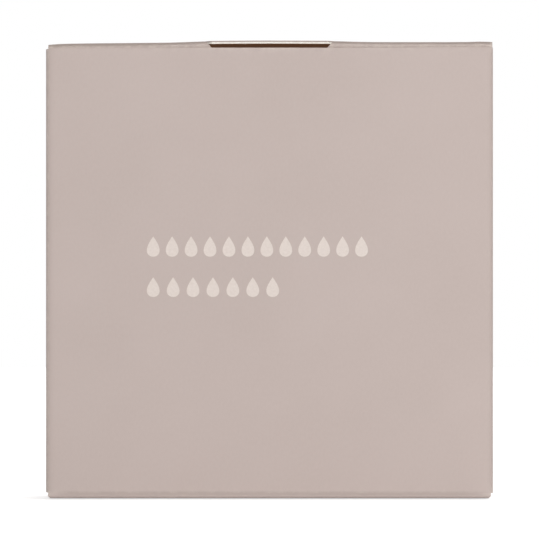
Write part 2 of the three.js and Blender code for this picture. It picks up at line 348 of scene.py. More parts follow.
# %% Helpers for the walk
SIDE_CUT, DUST_CUT = 1.25, 1.5
DUST_FRONT, DUST_REAR = -6.5, 7.0
ROLL_STEPS = 8


def smooth(t):
    """A soft step from 0 to 1."""
    t = np.clip(t, 0.0, 1.0)
    return t * t * (3 - 2 * t)


def cut_back(y, front, rear):
    """How far a side panel's end is cut back at y: more where the dust flap is creased on."""
    return DUST_CUT if front <= y <= rear else SIDE_CUT


def side_run(x, normal, ys):
    """A side panel. At the base the dust flaps are turned over, so front and rear change."""
    return [((x, y), normal, cut_back(y, -DUST_REAR, -DUST_FRONT),
             HEIGHT - cut_back(y, DUST_FRONT, DUST_REAR)) for y in ys]


def crease_run(centre, start, low, high, square=False):
    """A quarter roll to the right, from a starting angle. Its cut ends run from one height to
    the next, and at a square shoulder they get there in the first quarter of the roll."""
    run = []
    for i in range(1, ROLL_STEPS):
        share = i / ROLL_STEPS
        angle = math.radians(start - 90 * share)
        normal = (math.cos(angle), math.sin(angle))
        place = (centre[0] + SIDE_ROLL * normal[0], centre[1] + SIDE_ROLL * normal[1])
        ease = smooth(4 * share if square else share)
        run.append((place, normal, low[0] + (low[1] - low[0]) * ease,
                    high[0] + (high[1] - high[0]) * ease))
    return run


print(f"the sides are cut {SIDE_CUT} mm short, and {DUST_CUT} mm at the dust flaps")

# %% Where the panels reach
CREASE_CUT = 1.05
GLUE_LINE, GLUE_INSET, GLUE_SLANT = 0.1, 3.9, 4.0
flat_end, roll_y = HALF_WIDTH - SIDE_ROLL, HALF_DEPTH - SIDE_ROLL
glue_x = HALF_WIDTH - BOARD - GLUE_LINE
side_top, rear_top, glue_top = HEIGHT - SIDE_CUT, HEIGHT - END_ROLL, HEIGHT - GLUE_INSET


def front_top(x):
    """The front panel's top edge, which dips a little towards its left corner."""
    left_corner = 0.17 * math.exp(-(x + HALF_WIDTH) / 3)
    return rear_top - 0.08 * smooth((30 - x) / 15) - left_corner


def glue_cut(y):
    """How far the glue flap's slanted ends lie in from the carton's ends."""
    return GLUE_INSET + GLUE_SLANT * (roll_y - y) / roll_y


print(f"the front's top edge is {front_top(0):.2f} mm up, and {front_top(-flat_end):.2f} at its left")

# %% Walk round the sleeve
SQUARE_STEP = 0.02
right_end = HALF_DEPTH - 0.1
dust_steps = [DUST_REAR + SQUARE_STEP, DUST_REAR - SQUARE_STEP,
              -DUST_FRONT + SQUARE_STEP, -DUST_FRONT - SQUARE_STEP]
side_ys = [8.2, *dust_steps, 4, 2, 0, -2, -4, *[-y for y in dust_steps[::-1]], -roll_y]
edge_xs = np.array([flat_end, 34.0, 33.5, 32.5])
panel_xs = np.concatenate([edge_xs, np.linspace(31, -31, 25), -edge_xs[::-1]])
rear_xs = [*panel_xs[::-1][:-4], 32.5, 33.3, glue_x - SIDE_ROLL - SQUARE_STEP]

walk = side_run(HALF_WIDTH, (1, 0), [right_end] + side_ys)
walk += crease_run((flat_end, -roll_y), 0, (CREASE_CUT, END_ROLL),
                   (side_top, front_top(flat_end)), square=True)
walk += [((x, -HALF_DEPTH), (0, -1), END_ROLL, front_top(x)) for x in panel_xs]
walk += crease_run((-flat_end, -roll_y), -90, (END_ROLL, CREASE_CUT),
                   (front_top(-flat_end), side_top))
walk += side_run(-HALF_WIDTH, (-1, 0), side_ys[::-1] + [roll_y])
walk += crease_run((-flat_end, roll_y), 180, (SIDE_CUT, END_ROLL), (side_top, rear_top))
walk += [((x, HALF_DEPTH), (0, 1), END_ROLL, rear_top) for x in rear_xs]
walk += [((glue_x - SIDE_ROLL, HALF_DEPTH), (0, 1), GLUE_INSET, glue_top)]
walk += crease_run((glue_x - SIDE_ROLL, roll_y), 90, (GLUE_INSET, GLUE_INSET), (glue_top, glue_top))
walk += [((glue_x, y), (1, 0), glue_cut(y), HEIGHT - glue_cut(y))
         for y in (roll_y, 7, 5, 3, 1, 0.2, 0)]
print(f"the walk round the sleeve has {len(walk)} steps")

# %% [markdown]
# The walk becomes a grid with rows from bottom to top, closer together near the ends. Real panels
# are never quite flat: the creases hold their edges, and the middle stands out by a tenth of a
# millimetre. A Lattice or a Simple Deform modifier could bow them. A formula is exact, and the
# print on the front can follow it too.

# %% The sleeve's grid
PANEL_BOW = 0.1
end_shares = np.array([0, 0.002, 0.006, 0.014, 0.03, 0.06, 0.1])
row_shares = np.concatenate([end_shares, np.linspace(0.16, 0.84, 15), 1 - end_shares[::-1]])


def panel_bow(x, z):
    """How far the front and back panels stand out at a place."""
    across = 1 - (x / HALF_WIDTH) ** 2
    up = 1 - ((z - HEIGHT / 2) / (HEIGHT / 2)) ** 2
    return PANEL_BOW * np.clip(across, 0, 1) * np.clip(up, 0, 1)


plan, normals, sleeve_low, sleeve_high = [np.array(part, float) for part in zip(*walk)]
plan_x, plan_y = plan.T
sleeve_z = sleeve_low + (sleeve_high - sleeve_low) * row_shares[:, None]
bow = np.where(np.abs(normals[:, 1]) > 0.99, panel_bow(plan_x, sleeve_z), 0)
sleeve_outer = np.stack([plan_x + 0 * sleeve_z, plan_y + normals[:, 1] * bow, sleeve_z], -1)
sleeve_outward = np.stack([normals[:, 0] + 0 * sleeve_z, normals[:, 1] + 0 * sleeve_z,
                           0 * sleeve_z], -1)
sleeve_flat = np.stack([lengths_along(plan) + 0 * sleeve_z, sleeve_z], -1)
print("the sleeve's grid has", sleeve_z.shape[0], "rows and", sleeve_z.shape[1], "columns")

# %% [markdown]
# Use shows first where board is thin or bent. The cut ends are rubbed, most of all at the corners
# and at the slot, where finger nails go in. Painted light brightens the creases on the left. Painted
# shade darkens the creases and the panel edges beside them a little. These marks could be painted
# on by hand in Vertex Paint mode. Formulas put them exactly on the edges and the creases, and give
# the same marks each time.

# %% The sleeve's marks and piece
def crease_fade(x):
    """The painted crease shade fades out towards the carton's ends."""
    return smooth((HALF_WIDTH + 0.2 - np.abs(x)) / 4.5)


turning = np.minimum(np.abs(normals[:, 0]), np.abs(normals[:, 1]))
faces_front = normals[:, 1] < -0.9

near_cut = np.exp(-np.minimum(sleeve_z - sleeve_low, sleeve_high - sleeve_z) / 0.5)
# Painted light: the creases on the left are brightened with the pale core colour along their whole
# height.
left_crease_light = 0.7 * turning * (plan_x < 0)
slot_rub = smooth(10 - np.abs(plan_x)) * np.exp((sleeve_z - sleeve_high) / 0.22) * faces_front
sleeve_wear_and_light = (0.35 + turning) * near_cut + slot_rub + left_crease_light

# Painted shade: darker at the foot of the front, along its left and right edges, and a little on
# every roll.
base_crease_shade = 0.5 * smooth((1.35 - sleeve_z) / 0.45) * crease_fade(plan_x) * faces_front
left_crease_shade = 0.27 * smooth((-33.7 - plan_x) / 0.8) * faces_front
right_crease_shade = 0.19 * smooth((plan_x - 34.2) / 0.4) * smooth((-8.2 - plan_y) / 0.5)
sleeve_crease_shade = 0.05 * turning + base_crease_shade + left_crease_shade + right_crease_shade

sleeve = board_piece("carton_sleeve", sleeve_outer, sleeve_outer - BOARD * sleeve_outward,
                     sleeve_flat, sleeve_wear_and_light, sleeve_crease_shade)
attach(sleeve, "sleeve")
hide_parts("front_panel", "back_panel", "left_side_panel", "right_side_panel",
            "glue_flap")

# %% [markdown]
# ## Lid and base
# Both ends of the carton are closed alike, turned half way round. The panel rolls out of the
# sleeve at its hinge, runs flat over the opening and rolls down into the tuck flap. Stiff plates
# that turn on hinges would open a gap at each crease. The tuck flap with its own roll is a second
# piece.
#
# The lid has a lip: a short trapezium that was cut out of the tuck crease. It stays flat when the
# flap folds down and leaves a slot below it, where a finger nail goes in.

# %% Helpers for both ends
LIP_HALF, LIP_REACH, LIP_SLOPE = 10.15, 1.4, 0.7
SLOT_REACH = 1.75


def lid_rise(x):
    """The lid of a packed carton isn't straight: its lip stands up, its left corner hangs."""
    lip = 0.16 * smooth((17 - np.abs(x)) / 9) + 0.03 * smooth(1 - np.abs(x) / 8)
    tilt = -0.04 - 0.26 * np.clip((-x - 6) / 28, 0, 1)
    left_corner = -0.2 * np.exp(-(x + 34.7) / 1.3)
    right_corner = 0.08 * np.exp(-(((x - 33) / 1.6) ** 2))
    return lip + tilt + left_corner + right_corner


def lip_cut(x, most):
    """How far the cut round the lip lies beyond the crease at x."""
    return np.clip((LIP_HALF - np.abs(x)) / LIP_SLOPE, 0, most)


def closure_columns(half):
    """Places from left to right, closest at the edges and at the slanted ends of the slot."""
    slanted = np.linspace(LIP_HALF, LIP_HALF - LIP_SLOPE * SLOT_REACH, 8)
    left, right = [np.concatenate([[edge, edge - 0.15, edge - 0.6, 33, 31], np.linspace(28, 12, 9),
                                   [11.2], slanted, [7, 5, 2.5]]) for edge in half]
    return np.concatenate([-left, [0], right[::-1]])


def side_rub(x, half):
    """Cut side edges are worn."""
    return 0.7 * np.exp(-np.minimum(x + half[0], half[1] - x) / 0.5)


print(f"the lid's lip is {2 * LIP_HALF} mm wide and reaches {LIP_REACH} mm forward")

# %% The closure's panel
ROLL_SQUARENESS = 0.75
HINGE_Y, HINGE_Z = HALF_DEPTH - END_ROLL, HEIGHT - END_ROLL
TUCK_START = -7.4
PANEL_FLAT = 80
panel_shares = np.array([0.03, 0.1, 0.25, 0.4, 0.55, 0.7, 0.82, 0.9, 0.95, 0.98, 0.993, 1])


def closure_panel(half, has_lip):
    """The panel over the opening. half gives its left and right half of the width."""
    x = closure_columns(half)
    reach = lip_cut(x, LIP_REACH) if has_lip else 0 * x
    end = TUCK_START - reach
    hinge = np.radians(np.linspace(0, 90, 10))
    rolled = HINGE_Y + END_ROLL * np.cos(hinge) ** ROLL_SQUARENESS
    ys = np.concatenate([rolled[:, None] + 0 * x, HINGE_Y + (end - HINGE_Y) * panel_shares[:, None]])
    angle = np.concatenate([hinge, np.full(len(panel_shares), math.pi / 2)])[:, None] + 0 * x
    zs = HINGE_Z + END_ROLL * np.sin(angle) ** ROLL_SQUARENESS
    corner_cut = 0 * ys
    crushed = smooth(reach / 0.4)
    if has_lip:
        zs = zs + lid_rise(x) * smooth((HINGE_Y - ys) / (HINGE_Y - TUCK_START))
        zs[-1] -= 0.2 * crushed
    else:
        zs = zs - 0.08 * np.sin(angle) * smooth((ys - 4) / 4)
        at_corner = smooth((np.abs(x) - 33) / 1.6) * smooth((ys - 2) / 5)
        corner_cut = 0.35 * at_corner * smooth((zs - HEIGHT + 0.4) / 0.35)
    outer = np.stack([x - np.sign(x) * corner_cut, ys, zs], -1)
    inner = outer - BOARD * np.stack([0 * ys, np.cos(angle), np.sin(angle)], -1)
    inner[-1, :, 2] += 0.13 * crushed
    flat = np.stack([x + 0 * ys, PANEL_FLAT + HALF_DEPTH - ys + zs - HEIGHT], -1)
    # Painted shade: darker where the hinge roll starts, and at the panel's front end where it turns
    # into the tuck flap.
    hinge_shade = 0.45 * np.exp(-((angle / 0.3) ** 2)) * crease_fade(x)
    return outer, inner, flat, side_rub(x, half), hinge_shade + np.exp((end - ys) / 0.3)


print(f"the hinge lies {HALF_DEPTH - HINGE_Y:g} mm in from the back and from the top")

# %% The tuck flap's outline
TUCK_ROLL = 0.78
TUCK_LEAN = math.radians(14)
TUCK_TURN = math.pi / 2 + TUCK_LEAN
TUCK_ROLLED = TUCK_ROLL * TUCK_TURN
TUCK_LENGTH = TUCK_ROLLED + 9.1
TUCK_CORNER = 6
TUCK_FLAT = 100
STEADY_HALF = 12
round_end = TUCK_LENGTH - TUCK_CORNER * (1 - np.sin(np.radians(np.linspace(30, 90, 12))))
tuck_walk = np.concatenate([np.linspace(0, TUCK_ROLLED, 11),
                            [TUCK_ROLLED + 0.25, 2.1, 2.8, 4, 5.2, 6.2], round_end])


def tuck_width(x0, u, half):
    """Columns that stay straight in the middle and close up towards the flap's narrower end."""
    step = 0.75 * smooth((u - np.where(x0 < 0, 1.05, 1.3)) / 0.4)
    corner = np.clip(TUCK_CORNER - (TUCK_LENGTH - u), 0, TUCK_CORNER)
    rounded = TUCK_CORNER - np.sqrt(TUCK_CORNER ** 2 - corner * corner)
    root = np.where(x0 < 0, half[0], half[1])
    outside = np.clip((np.abs(x0) - STEADY_HALF) / (root - STEADY_HALF), 0, 1)
    moved = np.sign(x0) * (STEADY_HALF + outside * (root - step - rounded - STEADY_HALF))
    return np.where(np.abs(x0) > STEADY_HALF, moved, x0)


print(f"the tuck flap is {TUCK_LENGTH:.1f} mm long, and {TUCK_ROLLED:.1f} mm of that is its roll")

# %% The tuck flap
def tuck_flap(half, has_lip):
    """The flap from its roll to its rounded end. u is the way walked over the roll and down."""
    x0 = closure_columns(half)
    slot = lip_cut(x0, SLOT_REACH) if has_lip else 0 * x0
    u = slot + tuck_walk[:, None] * (TUCK_LENGTH - slot) / TUCK_LENGTH
    angle = np.clip(u / TUCK_ROLL, 0, TUCK_TURN) + math.pi / 2
    run = np.maximum(u - TUCK_ROLLED, 0)
    x = tuck_width(x0, u, half)
    ys = TUCK_START + TUCK_ROLL * np.cos(angle) + run * math.sin(TUCK_LEAN)
    zs = HEIGHT - TUCK_ROLL + TUCK_ROLL * np.sin(angle) - run * math.cos(TUCK_LEAN)
    if has_lip:
        zs = zs + lid_rise(x0) * smooth(1 - u / 5)
    outer = np.stack([x, ys, zs], -1)
    outward = np.stack([0 * ys, np.cos(angle), np.sin(angle)], -1)
    flat = np.stack([x, TUCK_FLAT + u], -1)
    # Painted light: the flap just below its roll is brightened with the pale core colour.
    root_light = 0.85 * smooth((u - 0.75) / 0.3) * smooth((2.2 - u) / 0.5)
    wear_and_light = side_rub(x, half) + 0.4 * np.exp((u - TUCK_LENGTH) / 0.5) + root_light
    # Painted shade: the top of the flap's roll is darker, more so towards the left.
    crease_shade = smooth((0.95 + 0.15 * smooth((-x - 8) / 20) - u) / 0.3)
    return outer, outer - BOARD * outward, flat, wear_and_light, crease_shade


print(f"the tuck flap leans {math.degrees(TUCK_LEAN):g} degrees in from square")

# %% [markdown]
# Both ends come from the same pieces of board: the base's are the lid's, turned half way round.


def end_piece(name, board, turned):
    """A piece of board for the lid, or turned half way round for the base."""
    outer, inner, *marks = board
    if turned:
        outer, inner = [grid * (1, -1, -1) + (0, 0, HEIGHT) for grid in (outer, inner)]
    return board_piece(name, outer, inner, *marks)


def add_closure(body, half, turned):
    panel = end_piece(f"{body}_board", closure_panel(half, not turned), turned)
    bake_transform(panel)
    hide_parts(f"{body}_panel")

    flap = end_piece(f"{body}_tuck", tuck_flap(half, not turned), turned)
    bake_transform(flap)
    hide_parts(f"{body}_tuck_flap")


add_closure("lid", half=(34.66, 34.92), turned=False)
add_closure("base", half=(34.68, 34.66), turned=True)

# %% [markdown]
# ## Dust flaps
# Four small flaps close the corners. Each is creased on a side panel, tapers towards its tip so
# that it clears the tuck flap, and has rounded corners so that it doesn't catch. An outline could
# be extruded into such a flap, but a grid bends better at the crease. The closed lid presses on
# the flaps, so their creases are rolled a little flatter than the others.

# %% The shape of a dust flap
DUST_RISE = END_ROLL - 0.3
DUST_X, DUST_Z = HALF_WIDTH - END_ROLL, HEIGHT - 0.6 - END_ROLL
DUST_LENGTH = 16.0 - END_ROLL
DUST_CORNER = 2.5
DUST_FLAT = 200
REAR_TAPER, FRONT_TAPER = math.tan(math.radians(16)), math.tan(math.radians(6))
dust_shares = np.array([0, 0.02, 0.06, 0.15, 0.3, 0.5, 0.7, 0.85, 0.94, 0.98, 1])


def dust_flap(side):
    """A flap on the right side panel, or mirrored for the left where side is -1."""
    roll = np.radians(np.linspace(0, 90, 10))
    round_tip = DUST_LENGTH - DUST_CORNER * (1 - np.sin(np.radians(np.linspace(0, 90, 9))))
    run = np.concatenate([[0.4, 1.2, 3, 5.5, 8, 10.5], round_tip])
    angle = np.concatenate([roll, np.full(len(run), math.pi / 2)])
    out = np.concatenate([np.zeros(len(roll)), run])
    corner = np.clip(DUST_CORNER - (DUST_LENGTH - out), 0, DUST_CORNER)
    rounded = DUST_CORNER - np.sqrt(DUST_CORNER ** 2 - corner * corner)
    rear = DUST_REAR - REAR_TAPER * out - rounded
    front = DUST_FRONT + FRONT_TAPER * out + rounded
    ys = front[:, None] + (rear - front)[:, None] * dust_shares
    xs = DUST_X + END_ROLL * np.cos(angle) - out
    zs = DUST_Z + DUST_RISE * np.sin(angle)
    full = 0 * ys
    outer = np.stack([side * (xs[:, None] + full), ys, zs[:, None] + full], -1)
    outward = np.stack([side * (np.cos(angle)[:, None] + full), full,
                        np.sin(angle)[:, None] + full], -1)
    walked = (out + END_ROLL * angle)[:, None]
    flat = np.stack([ys + DUST_FLAT + 20 * side, walked + full], -1)
    wear_and_light = 0.4 * np.exp(-np.minimum(dust_shares, 1 - dust_shares) / 0.03)
    # Painted shade: darker along the middle of the flap's roll.
    crease_shade = 0.5 * smooth(2.5 * np.sin(2 * angle))[:, None]
    return outer, outer - BOARD * outward, flat, wear_and_light, crease_shade


print(f"a dust flap reaches {DUST_LENGTH:g} mm over the opening")

# %% Build the dust flaps
for end_name, turned in (("lid", False), ("base", True)):
    for word, side in (("left", -1), ("right", 1)):
        body = f"{end_name}_dust_{word}"
        flap = end_piece(body, dust_flap(side), turned)
        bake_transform(flap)
        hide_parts(f"{end_name}_dust_flap_{word}")

# %% [markdown]
# ## Print on the front
# Two short rows of small drops stand on the front panel, in a pale ink. They could be a mask in
# the board's material, but a mask has soft or jagged edges close up. So each drop is a thin film
# of its own that follows the panel's bow, 12 thousandths of a millimetre proud.

# %% Pale ink
def make_pale_ink():
    material, tree, shader = new_material("pale_ink")
    speckle = noise(tree, flat_board(tree), scale=260.0, detail=4.0, rough=0.65)
    set_colour(tree, shader, remap(tree, speckle, (0.3, 0.8)), (0.735, 0.645, 0.590),
               (0.815, 0.730, 0.680))
    shader.inputs["Roughness"].default_value = 0.6
    shader.inputs["Specular IOR Level"].default_value = 0.3
    bump(tree, shader, speckle, strength=0.2, distance=0.00002)
    return material


pale_ink = make_pale_ink()
print("made", pale_ink.name)

# %% Rows of drops
DROP_WIDTH, DROP_POINTS = 2.0, 36
INK_PROUD, INK_DEEP = 0.012, 0.05


def drop_outline(x, low, high):
    """A drop with its tip up."""
    t = np.linspace(0, 2 * math.pi, DROP_POINTS, endpoint=False)
    across = np.sin(t) * np.abs(np.sin(t / 2)) ** 1.2 / 0.74
    return np.stack([x + DROP_WIDTH / 2 * across,
                     (low + high) / 2 + (high - low) / 2 * np.cos(t)], -1)


def drop_row(left, right, low, high, count):
    middles = np.linspace(left + DROP_WIDTH / 2, right - DROP_WIDTH / 2, count)
    return [drop_outline(x, low, high) for x in middles]


drops = (drop_row(left=-19.2, right=15.4, low=37.9, high=41.1, count=12)
         + drop_row(left=-19.2, right=1.5, low=31.6, high=34.7, count=7))
drop_points, drop_faces = [], []
for drop in drops:
    start = len(drop_points)
    for lift in (INK_PROUD, -INK_DEEP):
        drop_points += [(x, -HALF_DEPTH - panel_bow(x, z) - lift, z) for x, z in drop]
    upper = list(range(start, start + DROP_POINTS))
    lower = [i + DROP_POINTS for i in upper]
    drop_faces += [upper, lower[::-1]]
    drop_faces += zip(upper, lower, lower[1:] + lower[:1], upper[1:] + upper[:1])
drop_points = np.array(drop_points)
front_print = new_piece("front_print", drop_points, drop_faces, drop_points[:, [0, 2]], pale_ink)
face_outward(front_print.data)
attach(front_print, "sleeve")

# %% [markdown]
# ## The glue
# A bead of glue holds the glue flap to the right side. It is hidden in the seam and its CAD shape
# is right, so it stays as it is and only gets a finish. Dried glue is cream coloured, a little
# glossy and uneven. The bead has no flat drawing, so its noise lies in the object's own space.

# %% Dried glue
def make_dried_glue():
    material, tree, shader = new_material("dried_glue")
    place = tree.nodes.new("ShaderNodeTexCoord").outputs["Object"]
    lumps = noise(tree, place, scale=900.0)
    set_colour(tree, shader, lumps, (0.72, 0.66, 0.50), (0.86, 0.82, 0.70))
    shader.inputs["Roughness"].default_value = 0.4
    bump(tree, shader, lumps, strength=0.4, distance=0.00005)
    return material


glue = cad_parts["seam_glue"]
glue.data.materials.clear()
glue.data.materials.append(make_dried_glue())
print("the seam's glue has", glue.data.materials[0].name)

# %% [markdown]
# ## The cap
# The cap is a disc of very thin film with an elastic hem. For the carton it is folded to and fro
# into a packet of many leaves, hem uppermost. A cloth simulation could fold it, but so many
# leaves in so narrow a space don't come to rest. So the film is one unbroken sheet by formula: a
# zigzag of leaves with small round bends. All leaves share the same gentle waves, so that none of
# them crosses its neighbour. The film itself is milky, glossy and finely crumpled.

# %% Thin film
def make_thin_film():
    material, tree, shader = new_material("thin_film")
    crumples = noise(tree, flat_board(tree), scale=45.0, detail=6.0, rough=0.6)
    set_colour(tree, shader, remap(tree, crumples, (0.35, 0.7)), (0.91, 0.92, 0.915),
               (0.975, 0.98, 0.975))
    tree.links.new(remap(tree, crumples, new=(0.18, 0.42)), shader.inputs["Roughness"])
    shader.inputs["Transmission Weight"].default_value = 0.12
    shader.inputs["IOR"].default_value = 1.5
    bump(tree, shader, crumples, strength=0.5, distance=0.0002)
    return material


thin_film = make_thin_film()
print("made", thin_film.name)

# %% The film's zigzag
LEAVES, LEAF_PITCH, LEAF_BEND = 48, 0.15, 0.1
FILM_LOW, FILM_HIGH = 1.75, 52.0

zigzag = []
for leaf in range(LEAVES):
    top = FILM_HIGH - 0.7 * (0.5 + 0.5 * math.sin(2.4 * leaf))
    bottom = FILM_LOW + 0.25 * (0.5 + 0.5 * math.sin(1.7 * leaf))
    rising = leaf % 2 == 0
    up = np.linspace(bottom + LEAF_BEND, top - LEAF_BEND, 11)
    zigzag += [(leaf * LEAF_PITCH, z) for z in (up if rising else up[::-1])]
    zigzag.append(((leaf + 0.5) * LEAF_PITCH, top if rising else bottom))
zigzag = np.array(zigzag[:-1])
film_walked = lengths_along(zigzag)
print(f"{LEAVES} leaves lie {LEAVES * LEAF_PITCH:g} mm deep, from {film_walked[-1]:.0f} mm of film")

# %% The folded film
FILM_HALF = 28.7
film_x = np.linspace(-FILM_HALF, FILM_HALF, 25)
film_y = zigzag[:, :1] - (LEAVES - 1) * LEAF_PITCH / 2 + 0 * film_x
film_z = zigzag[:, 1:] + 0 * film_x
waves = (0.16 * np.sin(0.23 * film_x + 0.11 * film_z)
         + 0.10 * np.sin(0.52 * film_x - 0.17 * film_z + 1))
ragged = 0.22 * np.sin(0.35 * film_x + 1.3 * film_y) * smooth((film_z - 40) / 12)
film_points = np.stack([film_x + 0 * film_z, film_y + waves, film_z + ragged], -1)
film_flat = np.stack([film_x + 0 * film_z, film_walked[:, None] + 0 * film_z], -1)
film = new_piece("cap_film_sheet", film_points.reshape(-1, 3), grid_faces(*film_z.shape).tolist(),
                 film_flat.reshape(-1, 2), thin_film)
film.data.shade_smooth()
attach(film, "cap")
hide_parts("cap_film")
print(f"the film has {sum(p.area for p in film.data.polygons):.3f} square metres")

# %% [markdown]
# ## Hem and elastic
# Round the cap's mouth the film is folded over a narrow elastic band, which draws it into fine
# gathers. At rest that loop is a third of a metre long. It is pressed flat and laid to and fro
# in three runs, so that six strands lie side by side on top of the packet. A curve with a bevel
# could follow such a path, but a section swept in code lets every place have its own ruffle.

# %% The loop of the mouth
STRAND_PITCH, RUN_END = 1.5, 25.2
LOOP_STEPS = 2100


def arc(x, y, radius, start, turn):
    angles = np.radians(np.linspace(start, start + turn, 17))
    return np.stack([x + radius * np.cos(angles), y + radius * np.sin(angles)], -1)


def mouth_loop():
    """Evenly spaced places along the folded loop, outward directions, and lengths."""
    tight, wide = STRAND_PITCH / 2, 1.5 * STRAND_PITCH
    turns = np.concatenate([arc(RUN_END, -STRAND_PITCH, wide, -90, 180),
                            arc(-RUN_END, STRAND_PITCH, tight, -90, -180),
                            arc(RUN_END, 2 * STRAND_PITCH, tight, -90, 180),
                            arc(-RUN_END, STRAND_PITCH, wide, 90, 180),
                            arc(RUN_END, -STRAND_PITCH, tight, 90, -180),
                            arc(-RUN_END, -2 * STRAND_PITCH, tight, 90, 180)])
    closed = np.vstack([turns, turns[:1]])
    lengths = lengths_along(closed)
    walked = np.linspace(0, lengths[-1], LOOP_STEPS, endpoint=False)
    places = np.stack([np.interp(walked, lengths, closed[:, i]) for i in (0, 1)], -1)
    ahead = np.roll(places, -1, 0) - np.roll(places, 1, 0)
    ahead /= np.linalg.norm(ahead, axis=1)[:, None]
    return places, np.stack([ahead[:, 1], -ahead[:, 0]], -1), walked, lengths[-1]


loop_places, loop_outward, loop_walked, loop_length = mouth_loop()
print(f"the mouth's loop is {loop_length:.0f} mm long")

# %% Sweep a section along the loop
def swept_band(name, section, ruffle, material, closed):
    """A section of (out, up) places swept along the loop, each place moved by the ruffle."""
    out, up = np.array(section).T
    turn = 2 * math.pi * loop_walked[:, None] / loop_length
    swell, lift = ruffle(turn, out, up)
    level = up + lift + 0 * turn
    across = loop_places[:, None] + (out + swell)[..., None] * loop_outward[:, None]
    points = np.concatenate([across, level[..., None]], -1)
    index = np.arange(level.size).reshape(level.shape)
    first = index if closed else index[:, :-1]
    second = np.roll(index, -1, 1) if closed else index[:, 1:]
    faces = np.stack([first, np.roll(first, -1, 0), np.roll(second, -1, 0), second], -1)
    flat = np.stack([loop_walked[:, None] + 0 * level, out + up + 0 * level], -1)
    piece = new_piece(name, points.reshape(-1, 3), faces.reshape(-1, 4).tolist(),
                      flat.reshape(-1, 2), material)
    piece.data.shade_smooth()
    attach(piece, "cap")
    return piece


def sway(turn):
    """The slow wander of the strands: sideways and up."""
    return 0.05 * np.sin(13 * turn), 0.12 * np.sin(7 * turn + 1) + 0.08 * np.sin(19 * turn) - 0.15


print("a section can be swept along", LOOP_STEPS, "places")

# %% [markdown]
# The ruffle could come from noise, but noise doesn't meet itself at the end of a loop. It is a
# sum of sines whose counts are whole numbers, so it closes where the loop does. It only swells
# outwards, to leave room for the elastic, and never further than half the way to the next strand.

# %% The gathered hem
PLEATS, SMALL_PLEATS = 210, 331
WALL = 0.4
FOLD_LEVEL, FOLD_RISE = 57.75, 0.65
wall_levels = [52.7, 53.6, 54.6, 55.6, 56.6, 57.5]


def gathers(turn, out, up):
    """Fine folds that open out towards the free edge below the elastic."""
    aside, rise = sway(turn)
    pleat = PLEATS * turn + 1.4 * np.sin(23 * turn)
    small = np.sin(SMALL_PLEATS * turn + np.sin(31 * turn) - np.sign(out))
    most = 0.17 + 0.07 * np.clip((54.6 - up) / 1.9, 0, 1)
    swell = out / WALL * most * (0.5 + 0.35 * np.sin(pleat + 2 * np.sign(out)) + 0.15 * small)
    crinkle = (0.17 * np.sin(pleat) + 0.07 * small) * smooth((up - 57) / 0.8)
    return swell + aside, crinkle + rise


hem_section = ([(WALL, up) for up in wall_levels]
               + [(WALL * math.cos(a), FOLD_LEVEL + FOLD_RISE * math.sin(a))
                  for a in np.radians(np.linspace(15, 165, 8))]
               + [(-WALL, up) for up in wall_levels[::-1]])
hem = swept_band("cap_hem_ring", hem_section, gathers, thin_film, closed=False)
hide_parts("cap_hem")

# %% [markdown]
# The elastic is a flat knitted band, hidden in the hem but for a glimpse from below. Its ribs
# could be modelled, but they are less than a tenth of a millimetre deep, so a wave texture and a
# bump give them. Its section is a circle whose sine and cosine are pushed out and stretched, which
# makes a flat oblong with rounded corners.

# %% Knitted elastic
def make_knitted_elastic():
    material, tree, shader = new_material("knitted_elastic")
    ribs = tree.nodes.new("ShaderNodeTexWave")
    ribs.inputs["Scale"].default_value = 55.0
    ribs.inputs["Distortion"].default_value = 1.5
    tree.links.new(flat_board(tree), ribs.inputs["Vector"])
    set_colour(tree, shader, ribs.outputs["Fac"], (0.72, 0.70, 0.66), (0.90, 0.88, 0.84))
    shader.inputs["Roughness"].default_value = 0.85
    bump(tree, shader, ribs.outputs["Fac"], strength=0.5, distance=0.0001)
    return material


knitted_elastic = make_knitted_elastic()
print("made", knitted_elastic.name)

# %% The elastic band
BAND_HALF, BAND_LEVEL, BAND_RISE = 0.21, 56.2, 1.75
BAND_SQUARENESS = 0.4


def ripple(turn, out, up):
    """The band follows the strands and shivers a little with the pleats."""
    aside, rise = sway(turn)
    return aside + 0.02 * np.sin(PLEATS * turn) + 0 * out, rise + 0 * up


def pushed_out(value):
    """A sine or cosine that turns a circle into a rounded square."""
    return np.sign(value) * abs(value) ** BAND_SQUARENESS


band_section = [(BAND_HALF * pushed_out(math.cos(a)),
                 BAND_LEVEL + BAND_RISE * pushed_out(math.sin(a)))
                for a in np.radians(np.arange(15, 375, 30))]
elastic = swept_band("cap_elastic_band", band_section, ripple, knitted_elastic, closed=True)
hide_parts("cap_elastic")

# %% [markdown]
# ## Floor, light and camera
# The carton stands on a pale floor. A bright lamp on the floor could make it white, but would
# wash out the object too. So the floor glows half by itself, only where the camera sees it
# directly, in a reflection or through a clear piece. That makes it white and still leaves the
# shadow in it. From below it is clear, so that the base can be seen.

# %% Helpers for what the camera sees
def seen_directly(tree):
    """1 where a ray comes from the camera, a reflection or a see-through piece."""
    path = tree.nodes.new("ShaderNodeLightPath")
    seen = path.outputs["Is Camera Ray"]
    for name in ("Is Glossy Ray", "Is Transmission Ray"):
        larger = tree.nodes.new("ShaderNodeMath")
        larger.operation = "MAXIMUM"
        tree.links.new(seen, larger.inputs[0])
        tree.links.new(path.outputs[name], larger.inputs[1])
        seen = larger.outputs[0]
    return seen


def mix_shaders(tree, factor, first, second):
    """The first shader where the factor is 0, the second where it is 1."""
    node = tree.nodes.new("ShaderNodeMixShader")
    tree.links.new(factor, node.inputs[0])
    tree.links.new(first.outputs[0], node.inputs[1])
    tree.links.new(second.outputs[0], node.inputs[2])
    return node.outputs[0]


print("helpers for the floor and the world are ready")

